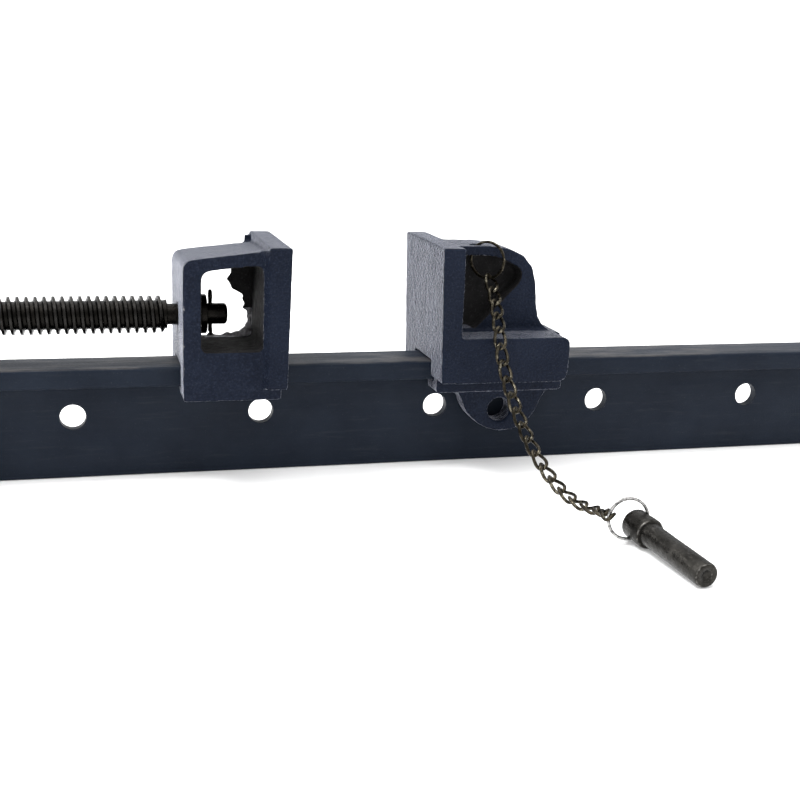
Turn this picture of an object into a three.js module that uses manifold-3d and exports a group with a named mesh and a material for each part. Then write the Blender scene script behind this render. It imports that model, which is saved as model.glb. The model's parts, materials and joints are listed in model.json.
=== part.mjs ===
// T-bar sash clamp: a drilled T-section bar, a fixed head with a screw, a screw-driven jaw, and a tail slide
// that is locked along the bar by a pin on a chain. Millimetres. X runs along the bar from its first pin hole,
// Y across it (the chain hangs on the -Y side) and Z up from the surface that the clamp stands on. The group is
// then shifted so that the origin is at the middle of the clamp's length, on that surface.
import * as THREE from "three";
import { mergeVertices } from "three/addons/utils/BufferGeometryUtils.js";
import Module from "manifold-3d";

const wasm = await Module();
wasm.setup();

// ---- Driving dimensions ----
const GAP = 0.3; // clearance between pieces that touch
const BAR = { start: -118, end: 685, height: 56, flange: 27, flangeDeep: 9.8, web: 5.5 };
const HOLES = { first: 0.8, pitch: 90, count: 8, radius: 6.1, z: 30.2 };
const SCREW = {
  z: 79, radius: 9, neck: 5.1, start: -161, headEnd: -133, shoulder: 45.5, end: 74.2, headRadius: 13,
};
const TOMMY = { x: -147, radius: 5, halfLength: 75, capRadius: 8, capLength: 13 };
const WASHER = { start: 61.2, thick: 3, radius: 9.5 };
const COTTER = { x: 66.2, wire: 0.9, shank: 1.5, eye: 2.6, drop: 8.4 };
const JAW = {
  half: 34, bodyHalf: 30, top: 115, left: 50.5, back: 90, face: 99.5, toe: 0.9, plateFoot: 48.4, rearDrop: 3,
  joint: 9, jointFin: 1.6, window: { left: 59, right: 87.3, floor: 66.2, topLeft: 103.6, topRight: 106.6 },
};
const TAIL = { face: 173.4, back: 183.6, rib: 14, web: 3, collarEnd: 240.6, collarTop: 71, lugHoleX: 211.5 };
const HEAD = { start: -118, end: -62, bossRadius: 18, bossOver: 4, half: 20, footHalf: 34 };
const RIVET = { at: [-106, -74], z: 24, shank: 4, radius: 7, dome: 4 };
const STOP = { x: 668, radius: 7, reach: 12, shank: 4 };
const PIN = {
  head: 6.8, headLong: 13.7, shank: 5.3, long: 56.5, x: 236.2, y: -125.4, yaw: 4.4, eye: 5.6, eyeRoll: 35,
};
const SLIDE_RING = { x: 201.9, y: -12, z: 106.4, radius: 9, wire: 0.7, turn: 44 };
const PIN_RING = { radius: 9, wire: 0.7, offset: 7.48, lean: -10 };
const LINK = { half: 5.3, wide: 2.6, wire: 0.82, pitch: 8.5 };

// The chain's route, from the slide's ring over the collar's edge and in a hanging curve to the pin's ring.
const CHAIN_ROUTE = [
  [203.1, -12.6, 98.2], [203.4, -19.5, 91.8], [202.6, -27.5, 84.6], [201.6, -34.4, 78.2], [201.4, -38.0, 71.2],
  [202.0, -40.2, 63.3], [203.2, -43.6, 55.5], [204.4, -47.8, 48.4], [205.5, -52.6, 42.0], [206.6, -57.9, 36.2],
  [207.8, -63.6, 30.7], [209.2, -69.8, 25.4], [210.9, -76.3, 20.5], [212.7, -83.1, 16.3], [214.7, -90.3, 12.9],
  [217.0, -97.7, 10.5], [219.4, -105.4, 9.5], [221.9, -113.3, 9.9], [223.2, -121.6, 11.6],
  [221.7, -130.6, 12.8],
];

// ---- Colours and finishes ----
const finish = (color, roughness, metalness) => ({ color, roughness, metalness });
const NAVY_CASTING = finish(0x2b3044, 0.62, 0.25);
const BAR_BLUE = finish(0x2a2f3a, 0.5, 0.35);
const BLACK_STEEL = finish(0x2a2723, 0.42, 0.85);
const GREY_STEEL = finish(0x5c5954, 0.45, 0.9);
const BRIGHT_STEEL = finish(0xa8a8aa, 0.3, 1.0);
const BRONZE = finish(0x6b5a3c, 0.4, 0.9);

const group = new THREE.Group();

function addMesh(name, geometry, look) {
  const mesh = new THREE.Mesh(geometry, new THREE.MeshStandardMaterial(look));
  mesh.name = name;
  group.add(mesh);
  return mesh;
}

// ---- Solids: joins and cuts ----
function positionsOnly(geometry) {
  const bare = geometry.clone();
  bare.deleteAttribute("normal");
  bare.deleteAttribute("uv");
  return mergeVertices(bare, 1e-4);
}

function solid(geometry) {
  const merged = positionsOnly(geometry);
  const mesh = new wasm.Mesh({
    numProp: 3,
    vertProperties: merged.attributes.position.array,
    triVerts: new Uint32Array(merged.index.array),
  });
  return new wasm.Manifold(mesh);
}

function carve(pieces, cuts) {
  const joined = pieces.map(solid).reduce((all, next) => all.add(next));
  const cut = cuts.map(solid).reduce((rest, tool) => rest.subtract(tool), joined);
  const mesh = cut.getMesh();
  const geometry = new THREE.BufferGeometry();
  geometry.setAttribute("position", new THREE.BufferAttribute(mesh.vertProperties, mesh.numProp));
  geometry.setIndex(new THREE.BufferAttribute(mesh.triVerts, 1));
  const flat = geometry.toNonIndexed();
  flat.computeVertexNormals();
  return flat;
}

// ---- Outlines and basic solids ----
// A closed outline from corners [u, v, r]: each corner is rounded off over the distance r along both its edges.
function outline(corners) {
  const shape = new THREE.Shape();
  const at = corners.map(([u, v]) => new THREE.Vector2(u, v));
  corners.forEach(([u, v, r = 0], i) => {
    const before = at[(i + at.length - 1) % at.length];
    const after = at[(i + 1) % at.length];
    const into = before.clone().sub(at[i]).setLength(r).add(at[i]);
    const out = after.clone().sub(at[i]).setLength(r).add(at[i]);
    if (i === 0) shape.moveTo(into.x, into.y);
    else shape.lineTo(into.x, into.y);
    if (r > 0) shape.quadraticCurveTo(u, v, out.x, out.y);
  });
  return shape;
}

const rectangle = (u0, v0, u1, v1, r = 0) => outline([[u0, v0, r], [u1, v0, r], [u1, v1, r], [u0, v1, r]]);

function prism(shape, depth) {
  return new THREE.ExtrudeGeometry(shape, { depth, bevelEnabled: false, curveSegments: 4 });
}

// An outline in Y and Z, extruded along X.
function alongX(shape, x0, x1) {
  const turn = new THREE.Matrix4().makeBasis(
    new THREE.Vector3(0, 1, 0), new THREE.Vector3(0, 0, 1), new THREE.Vector3(1, 0, 0));
  return prism(shape, x1 - x0).applyMatrix4(turn).translate(x0, 0, 0);
}

// An outline in X and Z, extruded along Y.
const alongY = (shape, y0, y1) => prism(shape, y1 - y0).rotateX(Math.PI / 2).translate(0, y1, 0);

// An outline in X and Y, extruded along Z.
const alongZ = (shape, z0, z1) => prism(shape, z1 - z0).translate(0, 0, z0);

function rod(radius, length, sides = 24) {
  return new THREE.CylinderGeometry(radius, radius, length, sides);
}

const rodX = (radius, x0, x1, z, sides) =>
  rod(radius, x1 - x0, sides).rotateZ(Math.PI / 2).translate((x0 + x1) / 2, 0, z);
const rodY = (radius, y0, y1, x, z, sides) => rod(radius, y1 - y0, sides).translate(x, (y0 + y1) / 2, z);
const rodZ = (radius, z0, z1, x, y, sides) =>
  rod(radius, z1 - z0, sides).rotateX(Math.PI / 2).translate(x, y, (z0 + z1) / 2);

// A turned piece: [radius, distance] pairs from one end of its axis to the other, the axis along +Y.
function turned(profile, sides = 24) {
  return new THREE.LatheGeometry(profile.map(([r, d]) => new THREE.Vector2(r, d)), sides);
}

// A closed round loop of wire about its own Z axis.
const ringOfWire = (radius, wire) => new THREE.TorusGeometry(radius, wire, 8, 32);

// ---- The bar ----
function barOutline() {
  const foot = BAR.web / 2;
  const wing = BAR.flange / 2;
  const under = BAR.height - BAR.flangeDeep;
  return outline([
    [-foot, 0, 0.8], [foot, 0, 0.8], [foot, under], [wing, under, 1], [wing, BAR.height, 1.8],
    [-wing, BAR.height, 1.8], [-wing, under, 1], [-foot, under],
  ]);
}

function barPiece() {
  const cuts = [];
  for (let i = 0; i < HOLES.count; i++) {
    cuts.push(rodY(HOLES.radius, -10, 10, HOLES.first + i * HOLES.pitch, HOLES.z));
  }
  for (const x of RIVET.at) cuts.push(rodY(RIVET.shank + GAP, -10, 10, x, RIVET.z, 16));
  cuts.push(rodY(STOP.shank + GAP, -10, 10, STOP.x, HOLES.z, 16));
  return carve([alongX(barOutline(), BAR.start, BAR.end)], cuts);
}

// The T-shaped passage that a casting leaves for the bar, with room all round.
function barPassage(x0, x1, room) {
  const wing = BAR.flange / 2 + room;
  const under = BAR.height - BAR.flangeDeep - room;
  return [
    alongX(rectangle(-wing, under, wing, BAR.height + room, 1), x0, x1),
    alongX(rectangle(-BAR.web / 2 - room, -2, BAR.web / 2 + room, BAR.height - 2), x0, x1),
  ];
}

// ---- The fixed head ----
function headPiece() {
  const { start, end, half, footHalf, bossRadius, bossOver } = HEAD;
  const middle = (start + end) / 2;
  const body = [
    alongX(outline([
      [-half, 0, 1], [half, 0, 1], [half, 60, 5], [11, 74], [-11, 74], [-half, 60, 5],
    ]), start, end),
    alongZ(rectangle(start, -footHalf, end, footHalf, 9), 0, 9),
    rodX(bossRadius, start - bossOver, end + bossOver, SCREW.z, 32),
    gussetBody(1, middle),
    gussetBody(-1, middle),
  ];
  const cuts = [
    rodX(SCREW.radius + GAP, start - 20, end + 20, SCREW.z, 32),
    ...barPassage(start - 10, end + 10, 0.35),
    ...RIVET.at.map((x) => rodY(RIVET.shank + GAP, -40, 40, x, RIVET.z, 16)),
  ];
  return carve(body, cuts);
}

// A web that stiffens a foot against the side of the head.
function gussetBody(side, middle) {
  const corners = [[16, 4], [32, 4, 1], [32, 11, 3], [20, 46, 3], [16, 46]];
  const points = side > 0 ? corners : corners.map(([y, z, r]) => [-y, z, r]).reverse();
  return alongX(outline(points), middle - 5, middle + 5);
}

function rivetPiece() {
  const { shank, radius, dome } = RIVET;
  const side = HEAD.half + GAP;
  const profile = [
    [0, -side - dome], [shank, -side - dome + 0.6], [radius - 0.4, -side - dome + 2.4], [radius, -side],
    [shank, -side], [shank, side], [radius, side], [radius - 0.4, side + dome - 2.4], [shank, side + dome - 0.6],
    [0, side + dome],
  ];
  return turned(profile, 16);
}

function stopPiece() {
  const face = BAR.web / 2 + GAP;
  const { radius, reach, shank } = STOP;
  const profile = [
    [0, -reach], [radius - 1, -reach], [radius, -reach + 1], [radius, -face], [shank, -face],
    [shank, face], [radius, face], [radius, reach - 1], [radius - 1, reach], [0, reach],
  ];
  return turned(profile, 16);
}

// ---- The screw and what is on it ----
function screwPiece() {
  const { start, headEnd, shoulder, end, radius, neck, headRadius } = SCREW;
  const profile = [
    [0, start], [headRadius - 2, start], [headRadius, start + 2], [headRadius, headEnd - 3], [radius, headEnd],
    [radius, shoulder - 1], [radius - 1, shoulder], [neck, shoulder], [neck, end - 0.8], [neck - 0.8, end],
    [0, end],
  ];
  const blank = turned(profile, 32).rotateZ(-Math.PI / 2).translate(0, 0, SCREW.z);
  const cuts = [
    rodY(TOMMY.radius + GAP, -20, 20, TOMMY.x, SCREW.z, 20),
    rodZ(COTTER.shank + GAP, SCREW.z - 10, SCREW.z + 10, COTTER.x, 0, 12),
  ];
  return carve([blank], cuts);
}

function washerPiece() {
  const { start, thick, radius } = WASHER;
  const disc = rodX(radius, start, start + thick, SCREW.z, 28);
  return carve([disc], [rodX(SCREW.neck + GAP, start - 1, start + thick + 1, SCREW.z, 28)]);
}

// A split pin bent from one wire: an eye above the screw, a doubled shank through it, and two spread legs.
function cotterPiece() {
  const { x, wire, shank, eye, drop } = COTTER;
  const above = SCREW.z + SCREW.neck + 0.8;
  const below = SCREW.z - drop;
  const eyeRing = new THREE.TorusGeometry(eye - wire, wire, 6, 16).rotateY(Math.PI / 2);
  eyeRing.translate(0, 0, above + eye);
  const stem = rodZ(shank, SCREW.z - SCREW.neck - 0.8, above + wire, 0, 0, 12);
  const leg = (side) =>
    rod(wire, 5, 8).rotateX(Math.PI / 2).rotateX(side * 0.5).translate(0, side * 1.4, below + 1.4);
  return carve([eyeRing, stem, leg(1), leg(-1)], []).translate(x, 0, 0);
}

function tommyPiece() {
  const end = TOMMY.halfLength - 2;
  return turned([[0, -end], [TOMMY.radius - 1, -end], [TOMMY.radius, -end + 1],
    [TOMMY.radius, end - 1], [TOMMY.radius - 1, end], [0, end]], 20);
}

// A round cap over one end of the tommy bar, its blind bore open towards the bar's middle.
function capPiece() {
  const { radius, halfLength, capRadius, capLength } = TOMMY;
  const open = halfLength - capLength;
  const bore = radius + GAP;
  const floor = halfLength - 2 + GAP;
  return turned([
    [0, floor], [bore, floor], [bore, open], [capRadius - 2, open], [capRadius, open + 2.5],
    [capRadius, halfLength - 2], [capRadius - 2.5, halfLength + 0.6], [0, halfLength + 1.4],
  ], 20);
}

// ---- The screw-driven jaw ----
function jawPlate(face, back, top, foot, lean) {
  return alongY(outline([[back + 0.5, foot, 0.6], [face - lean, foot, 0.6], [face + lean, top, 0.8],
    [back - 0.3, top, 0.8]]), -JAW.half, JAW.half);
}

// The slope between a jaw plate's edge and the narrower body behind it.
function jawFlare(side) {
  const { half, bodyHalf, back, plateFoot, top } = JAW;
  const corners = [[back - 3.4, bodyHalf - 2], [back + 2, bodyHalf - 2], [back + 2, half], [back, half],
    [back - 3.4, bodyHalf]];
  const points = side > 0 ? corners : corners.map(([x, y]) => [x, -y]).reverse();
  return alongZ(outline(points), plateFoot, top - 1.5);
}

// The thin ragged fin of metal that the mould's joint left along the window's floor and across its corner.
function jawFlash() {
  const rim = [
    [66, 64], [66, 67.8], [69, 67.2], [72, 66.6], [74.8, 67.6], [79.5, 67.8], [83.2, 68.2], [85.2, 70],
    [85.8, 73], [84.8, 75.6], [85.6, 77.8], [82.8, 79.8], [84, 82], [82.8, 84.4], [83.4, 86.4], [80.6, 88],
    [78, 89.4],
    [76.8, 92.2], [75.2, 94.4], [77.4, 97.2], [77.2, 100.8], [76.4, 108], [89, 108], [89, 64],
  ];
  return alongY(outline(rim.reverse()), JAW.joint, JAW.joint + JAW.jointFin);
}

// The window through the jaw. Behind the mould's joint it widens towards the rear.
function windowCuts() {
  const { joint, half } = JAW;
  const { left, right, floor, topLeft, topRight } = JAW.window;
  const rim = outline([[left, floor, 3], [right, floor, 3], [right, topRight, 4], [left, topLeft, 4.5]]);
  const rear = alongY(rim, joint - 1, half + 6);
  const at = rear.attributes.position;
  for (let i = 0; i < at.count; i++) {
    if (at.getY(i) < half || at.getZ(i) > (floor + topLeft) / 2) continue;
    at.setX(i, at.getX(i) + (at.getX(i) > (left + right) / 2 ? 2.2 : -1.2));
    at.setZ(i, at.getZ(i) - 5.5);
  }
  return [alongY(rim, -half - 6, joint), rear];
}

// Lowers the rear end of a casting's top, where its cross section is a little smaller.
function lowerRear(geometry) {
  const at = geometry.attributes.position;
  for (let i = 0; i < at.count; i++) {
    if (at.getY(i) > 0 && at.getZ(i) > 100) at.setZ(i, at.getZ(i) - JAW.rearDrop);
  }
  return geometry;
}

function screwJawPiece() {
  const { bodyHalf, left, back, plateFoot, top, face, toe } = JAW;
  const body = lowerRear(alongY(outline([[left, 42.8, 1.5], [96.3, 42.8, 1], [96.3, 60], [back + 3, 60],
    [back + 3, 113.6], [left, 108.8, 5]]), -bodyHalf, bodyHalf));
  const open = carve([body, jawPlate(face, back, top, plateFoot, toe), jawFlare(1), jawFlare(-1)], [
    ...windowCuts(),
    rodX(SCREW.neck + 0.5, left - 5, 62, SCREW.z, 28),
    ...barPassage(left - 5, face + 5, 0.6),
  ]);
  return carve([open, jawFlash()], []);
}

// ---- The tail slide ----
function ribShape() {
  const shape = new THREE.Shape();
  shape.moveTo(181, 60);
  shape.lineTo(243, 60);
  shape.lineTo(243, 69.2);
  shape.quadraticCurveTo(229.6, 70.6, 228.9, 84.5);
  shape.lineTo(227.8, 95);
  shape.quadraticCurveTo(226.2, 113.4, 202, 113.6);
  shape.lineTo(181, 113.6);
  return shape;
}

function lugShape() {
  const edge = [[187, 42.5], [190.7, 36.5], [194.6, 28.5], [202.6, 21.6], [212.5, 18.6], [223.2, 20.6],
    [230.2, 27], [234, 35], [239, 42.5]];
  const shape = new THREE.Shape();
  shape.moveTo(187, 46);
  shape.splineThru(edge.map(([x, z]) => new THREE.Vector2(x, z)));
  shape.lineTo(239, 46);
  return shape;
}

function tailSlidePiece() {
  const { face, back, rib, web, collarEnd, collarTop, lugHoleX } = TAIL;
  const plate = alongY(outline([[face + 0.9, 48.8, 0.6], [back, 48.8], [back, JAW.top, 0.8],
    [face - 0.9, JAW.top, 0.8]]), -JAW.half, JAW.half);
  const collar = alongY(outline([[back - 2, 48.6], [collarEnd - 1, 48.6, 5], [collarEnd, collarTop, 5],
    [back - 2, collarTop]]), -JAW.half, JAW.half);
  const lips = alongY(rectangle(176.2, 40.7, 243, 52, 1.5), -20, 20);
  const lugs = prism(lugShape(), 32).rotateX(Math.PI / 2).translate(0, 16, 0);
  const pocket = (y0, y1) => alongY(outline([
    [back, 72.4], [196.6, 72.4, 2], [219.2, 95.5, 2.5], [220.2, 101.8, 3.4], [206, 108.9, 7], [back, 108.9],
  ]), y0, y1);
  return carve([plate, alongY(ribShape(), -rib, rib), collar, lips, lugs], [
    pocket(-rib - 2, -web),
    pocket(web, rib + 2),
    rodZ(2.9, 104, 120, SLIDE_RING.x - 5.1, SLIDE_RING.y + 4.9, 16),
    rodY(HOLES.radius, -30, 30, lugHoleX, HOLES.z, 24),
    ...barPassage(face - 5, collarEnd + 10, 0.6),
  ]);
}

// ---- The slide's ring, the chain and the locking pin ----
const radians = THREE.MathUtils.degToRad;

function slideRingPiece() {
  const { x, y, z, radius, wire, turn } = SLIDE_RING;
  return ringOfWire(radius, wire).rotateX(Math.PI / 2).rotateZ(-radians(turn)).translate(x, y, z);
}

// The pin lies on the floor on the front rim of its head and on its tip. Its own frame has +X along the pin
// towards the tip, +Y level and +Z upwards, with its origin at the centre of the head's end face.
function pinFrame() {
  const tilt = Math.asin((PIN.head - PIN.shank) / (PIN.long - PIN.headLong));
  const heading = radians(PIN.yaw - 90);
  const along = new THREE.Vector3(Math.cos(heading) * Math.cos(tilt), Math.sin(heading) * Math.cos(tilt),
    -Math.sin(tilt));
  const level = new THREE.Vector3(-Math.sin(heading), Math.cos(heading), 0);
  const up = along.clone().cross(level);
  const lift = PIN.head * Math.cos(tilt) + PIN.headLong * Math.sin(tilt) + 0.05;
  return new THREE.Matrix4().makeBasis(along, level, up).setPosition(PIN.x, PIN.y, lift);
}

function lockingPinPiece() {
  const { head, headLong, shank, long, eye, eyeRoll } = PIN;
  const profile = [
    [0, 0], [head - 0.8, 0], [head, 0.8], [head, headLong - 0.6], [head - 0.6, headLong], [shank, headLong],
    [shank, long - 1.2], [shank - 1.2, long], [1.4, long], [0, long - 1],
  ];
  const blank = turned(profile, 28).rotateZ(-Math.PI / 2);
  const hole = rodZ(2.5, -10, 10, eye, 0, 16).rotateX(-radians(eyeRoll));
  return carve([blank], [hole]).applyMatrix4(pinFrame());
}

// The pin's ring passes through the head's cross hole and leans towards the pin's head end.
function pinRingFrame() {
  const roll = new THREE.Matrix4().makeRotationX(-radians(PIN.eyeRoll));
  const hole = new THREE.Matrix4().makeTranslation(PIN.eye, 0, 0).multiply(roll);
  const lean = new THREE.Matrix4().makeRotationZ(radians(PIN_RING.lean));
  const aside = new THREE.Matrix4().makeTranslation(0, -PIN_RING.offset, 0);
  const upright = new THREE.Matrix4().makeRotationY(Math.PI / 2);
  return pinFrame().multiply(hole).multiply(lean).multiply(aside).multiply(upright);
}

// One twisted oval link: its ends lie a quarter turn apart, so that the links beside it pass through square.
class LinkCurve extends THREE.Curve {
  getPoint(t, target = new THREE.Vector3()) {
    const straight = LINK.half - LINK.wide;
    const angle = 2 * Math.PI * t;
    const along = straight * Math.tanh(2.5 * Math.cos(angle)) + LINK.wide * Math.cos(angle);
    const across = LINK.wide * Math.sin(angle);
    const twist = (Math.PI / 4) * (along / LINK.half);
    return target.set(along, across * Math.cos(twist), across * Math.sin(twist));
  }
}

function addChain() {
  const points = CHAIN_ROUTE.map((point) => new THREE.Vector3(...point));
  const route = new THREE.CatmullRomCurve3(points, false, "centripetal");
  const count = Math.ceil(route.getLength() / LINK.pitch);
  const side = new THREE.Vector3(1, 0, 0);
  const pitch = route.getLength() / count;
  for (let i = 0; i < count; i++) {
    const from = route.getPointAt((i * pitch) / route.getLength());
    const to = route.getPointAt(Math.min(1, ((i + 1) * pitch) / route.getLength()));
    const along = to.clone().sub(from).normalize();
    const across = side.clone().addScaledVector(along, -side.dot(along)).normalize();
    const facing = along.clone().cross(across);
    const link = new THREE.TubeGeometry(new LinkCurve(), 14, LINK.wire, 6, true);
    const place = new THREE.Matrix4().makeBasis(along, across, facing);
    place.setPosition(from.add(to).multiplyScalar(0.5));
    addMesh(`chain_link_${String(i + 1).padStart(2, "0")}`, positionsOnly(link).applyMatrix4(place), BRONZE);
  }
}

// ---- Assembly ----
addMesh("t_bar", barPiece(), BAR_BLUE);
addMesh("head_casting", headPiece(), NAVY_CASTING);
RIVET.at.forEach((x, i) => addMesh(`head_rivet_${i + 1}`, rivetPiece(), BAR_BLUE).position.set(x, 0, RIVET.z));
addMesh("end_stop_rivet", stopPiece(), BAR_BLUE).position.set(STOP.x, 0, HOLES.z);
addMesh("screw_spindle", screwPiece(), BLACK_STEEL);
addMesh("thrust_washer", washerPiece(), BLACK_STEEL);
addMesh("cotter_pin", cotterPiece(), BLACK_STEEL);
addMesh("tommy_bar", tommyPiece(), BLACK_STEEL).position.set(TOMMY.x, 0, SCREW.z);
addMesh("tommy_cap_rear", capPiece(), BLACK_STEEL).position.set(TOMMY.x, 0, SCREW.z);
addMesh("tommy_cap_front", capPiece().rotateZ(Math.PI), BLACK_STEEL).position.set(TOMMY.x, 0, SCREW.z);
addMesh("screw_jaw", screwJawPiece(), NAVY_CASTING);
addMesh("tail_slide", tailSlidePiece(), NAVY_CASTING);
addMesh("slide_ring", slideRingPiece(), BRONZE);
addChain();
addMesh("pin_ring", ringOfWire(PIN_RING.radius, PIN_RING.wire).applyMatrix4(pinRingFrame()), BRIGHT_STEEL);
addMesh("locking_pin", lockingPinPiece(), GREY_STEEL);

group.position.x = -(SCREW.start + BAR.end) / 2;
export default group;
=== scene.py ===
"""A T-bar sash clamp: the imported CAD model's frame with its finished surfaces, set up as a studio shot."""

import json
import math

import bmesh
import bpy
import numpy as np
from mathutils import Matrix, Vector, noise


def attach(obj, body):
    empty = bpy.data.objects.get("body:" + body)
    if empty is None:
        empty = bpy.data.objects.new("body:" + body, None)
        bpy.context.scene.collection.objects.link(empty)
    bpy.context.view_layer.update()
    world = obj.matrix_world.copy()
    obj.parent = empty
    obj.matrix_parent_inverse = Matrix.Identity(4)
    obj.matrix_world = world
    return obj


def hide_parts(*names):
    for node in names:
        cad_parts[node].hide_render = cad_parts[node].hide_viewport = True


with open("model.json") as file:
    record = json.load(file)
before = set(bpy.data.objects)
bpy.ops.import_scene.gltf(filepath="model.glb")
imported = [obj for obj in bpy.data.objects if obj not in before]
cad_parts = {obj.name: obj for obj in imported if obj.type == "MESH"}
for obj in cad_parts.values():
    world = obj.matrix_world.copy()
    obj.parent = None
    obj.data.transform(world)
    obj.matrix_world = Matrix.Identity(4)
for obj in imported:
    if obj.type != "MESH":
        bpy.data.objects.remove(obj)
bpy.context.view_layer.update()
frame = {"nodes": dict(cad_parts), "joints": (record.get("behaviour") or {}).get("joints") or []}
NODES = frame["nodes"]

MM = 0.001

# ---------------------------------------------------------------- driving dimensions, in millimetres
# X counts along the bar from its first pin hole, Y across the bar from its middle and Z up from the floor.
SHIFT = Vector((-262.0, 0.0, 0.0))  # from these distances to the part's own, which start at its middle
BAR_SHAPE = {"start": -118.0, "end": 685.0, "height": 56.0, "half_flange": 13.5, "flange_deep": 9.8,
             "half_web": 2.75}
HOLES = {"first": 0.8, "pitch": 90, "count": 8, "radius": 6.1, "z": 30.2}
RIVETS = {"at": (-106, -74), "z": 24, "hole": 4.3}
STOP = {"x": 668, "z": 30.2, "hole": 4.3}
SCREW = {"start": -161, "shoulder": 45.5, "end": 74.2, "z": 79.0, "head": 13, "neck": 5.1}
THREAD = {"from": -130.0, "to": 45.2, "lead": 4.0, "outer": 9.0, "root": 6.75, "segments": 72}
WASHER = {"start": 61.2, "end": 64.2, "radius": 9.5, "bore": 5.4}
SPLIT_PIN = {"x": 66.2, "wire": 0.88, "hole": 1.95}
TOMMY = {"x": -147, "radius": 5, "half_long": 73, "hole": 5.3}
PIN = {"head": 6.8, "head_long": 13.7, "shank": 5.3, "long": 56.5, "x": 236.2, "y": -125.4, "yaw": 4.4,
       "eye": 5.6, "roll": 35.0, "hole": 2.5}
SLIDE_RING = {"at": (201.9, -12, 106.4), "turn": 44}
RING_RADIUS = 9
RING_WIRE = (0.64, 0.33)  # half the flat wire's width, outwards and along the ring's axis
LINK = {"half": 5.3, "wide": 2.6, "wire": 0.82}
CHAIN_ROUTE = [
    (203.1, -12.6, 98.2), (203.4, -19.5, 91.8), (202.6, -27.5, 84.6), (201.6, -34.4, 78.2),
    (201.4, -38.0, 71.2), (202.0, -40.2, 63.3), (203.2, -43.6, 55.5), (204.4, -47.8, 48.4),
    (205.5, -52.6, 42.0), (206.6, -57.9, 36.2), (207.8, -63.6, 30.7), (209.2, -69.8, 25.4),
    (210.9, -76.3, 20.5), (212.7, -83.1, 16.3), (214.7, -90.3, 12.9), (217.0, -97.7, 10.5),
    (219.4, -105.4, 9.5), (221.9, -113.3, 9.9), (223.2, -121.6, 11.6), (221.7, -130.6, 12.8),
]


def at(x, y, z):
    """A point given in the driving dimensions' millimetres, as metres in the part's frame."""
    return (Vector((x, y, z)) + SHIFT) * MM


# ---------------------------------------------------------------- camera
CAMERA_AT = Vector((-0.2616, -0.5773, 0.1879))
CAMERA_YAW = 0.27443
CAMERA_PITCH = 0.2532
CAMERA_ROLL = 0.0376
CAMERA_LENS = 54.36
CAMERA_SENSOR = 36.0


def make_camera():
    flat = math.cos(CAMERA_PITCH)
    ahead = Vector((math.sin(CAMERA_YAW) * flat, math.cos(CAMERA_YAW) * flat, -math.sin(CAMERA_PITCH)))
    level = Vector((math.cos(CAMERA_YAW), -math.sin(CAMERA_YAW), 0.0))
    upright = level.cross(ahead)
    right = level * math.cos(CAMERA_ROLL) + upright * math.sin(CAMERA_ROLL)
    up = upright * math.cos(CAMERA_ROLL) - level * math.sin(CAMERA_ROLL)
    data = bpy.data.cameras.new("camera")
    data.lens = CAMERA_LENS
    data.sensor_width = CAMERA_SENSOR
    camera = bpy.data.objects.new("camera", data)
    bpy.context.scene.collection.objects.link(camera)
    camera.matrix_world = Matrix.Translation(CAMERA_AT) @ Matrix((right, up, -ahead)).transposed().to_4x4()
    data.clip_start = 0.01
    bpy.context.scene.camera = camera


make_camera()


# ---------------------------------------------------------------- mesh helpers
def add_object(name, mesh, body, material, nodes=()):
    """A finished piece: on its body, standing for its CAD nodes."""
    obj = bpy.data.objects.new(name, mesh)
    bpy.context.scene.collection.objects.link(obj)
    mesh.materials.clear()
    mesh.materials.append(material)
    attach(obj, body)
    if nodes:
        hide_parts(*nodes)
    return obj


def mesh_from(name, verts, faces):
    """A mesh with its doubled points joined and its faces turned outwards."""
    mesh = bpy.data.meshes.new(name)
    mesh.from_pydata([tuple(v) for v in verts], [], faces)
    bm = bmesh.new()
    bm.from_mesh(mesh)
    bmesh.ops.remove_doubles(bm, verts=bm.verts, dist=1e-7)
    bmesh.ops.dissolve_degenerate(bm, dist=1e-7, edges=bm.edges)
    bmesh.ops.recalc_face_normals(bm, faces=bm.faces)
    bm.to_mesh(mesh)
    bm.free()
    return mesh


def smooth_by_angle(mesh, degrees=35.0):
    """Smooth shading, with hard edges kept where faces meet at more than this angle."""
    mesh.polygons.foreach_set("use_smooth", [True] * len(mesh.polygons))
    bm = bmesh.new()
    bm.from_mesh(mesh)
    limit = math.radians(degrees)
    for edge in bm.edges:
        edge.smooth = len(edge.link_faces) == 2 and edge.calc_face_angle(0.0) < limit
    bm.to_mesh(mesh)
    bm.free()


def lathe(profile, segments=64):
    """A piece turned about +X, as vertices and faces. The profile is [(distance along X, radius)]."""
    verts, faces, rings = [], [], []
    for x, r in profile:
        if r < 1e-6:
            rings.append([len(verts)])
            verts.append((x, 0.0, 0.0))
            continue
        rings.append(list(range(len(verts), len(verts) + segments)))
        for j in range(segments):
            a = 2 * math.pi * j / segments
            verts.append((x, r * math.cos(a), r * math.sin(a)))
    for a, b in zip(rings, rings[1:]):
        for j in range(segments):
            k = (j + 1) % segments
            if len(a) == 1 and len(b) == 1:
                continue
            if len(a) == 1:
                faces.append((a[0], b[k], b[j]))
            elif len(b) == 1:
                faces.append((a[j], a[k], b[0]))
            else:
                faces.append((a[j], a[k], b[k], b[j]))
    return verts, faces


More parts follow.
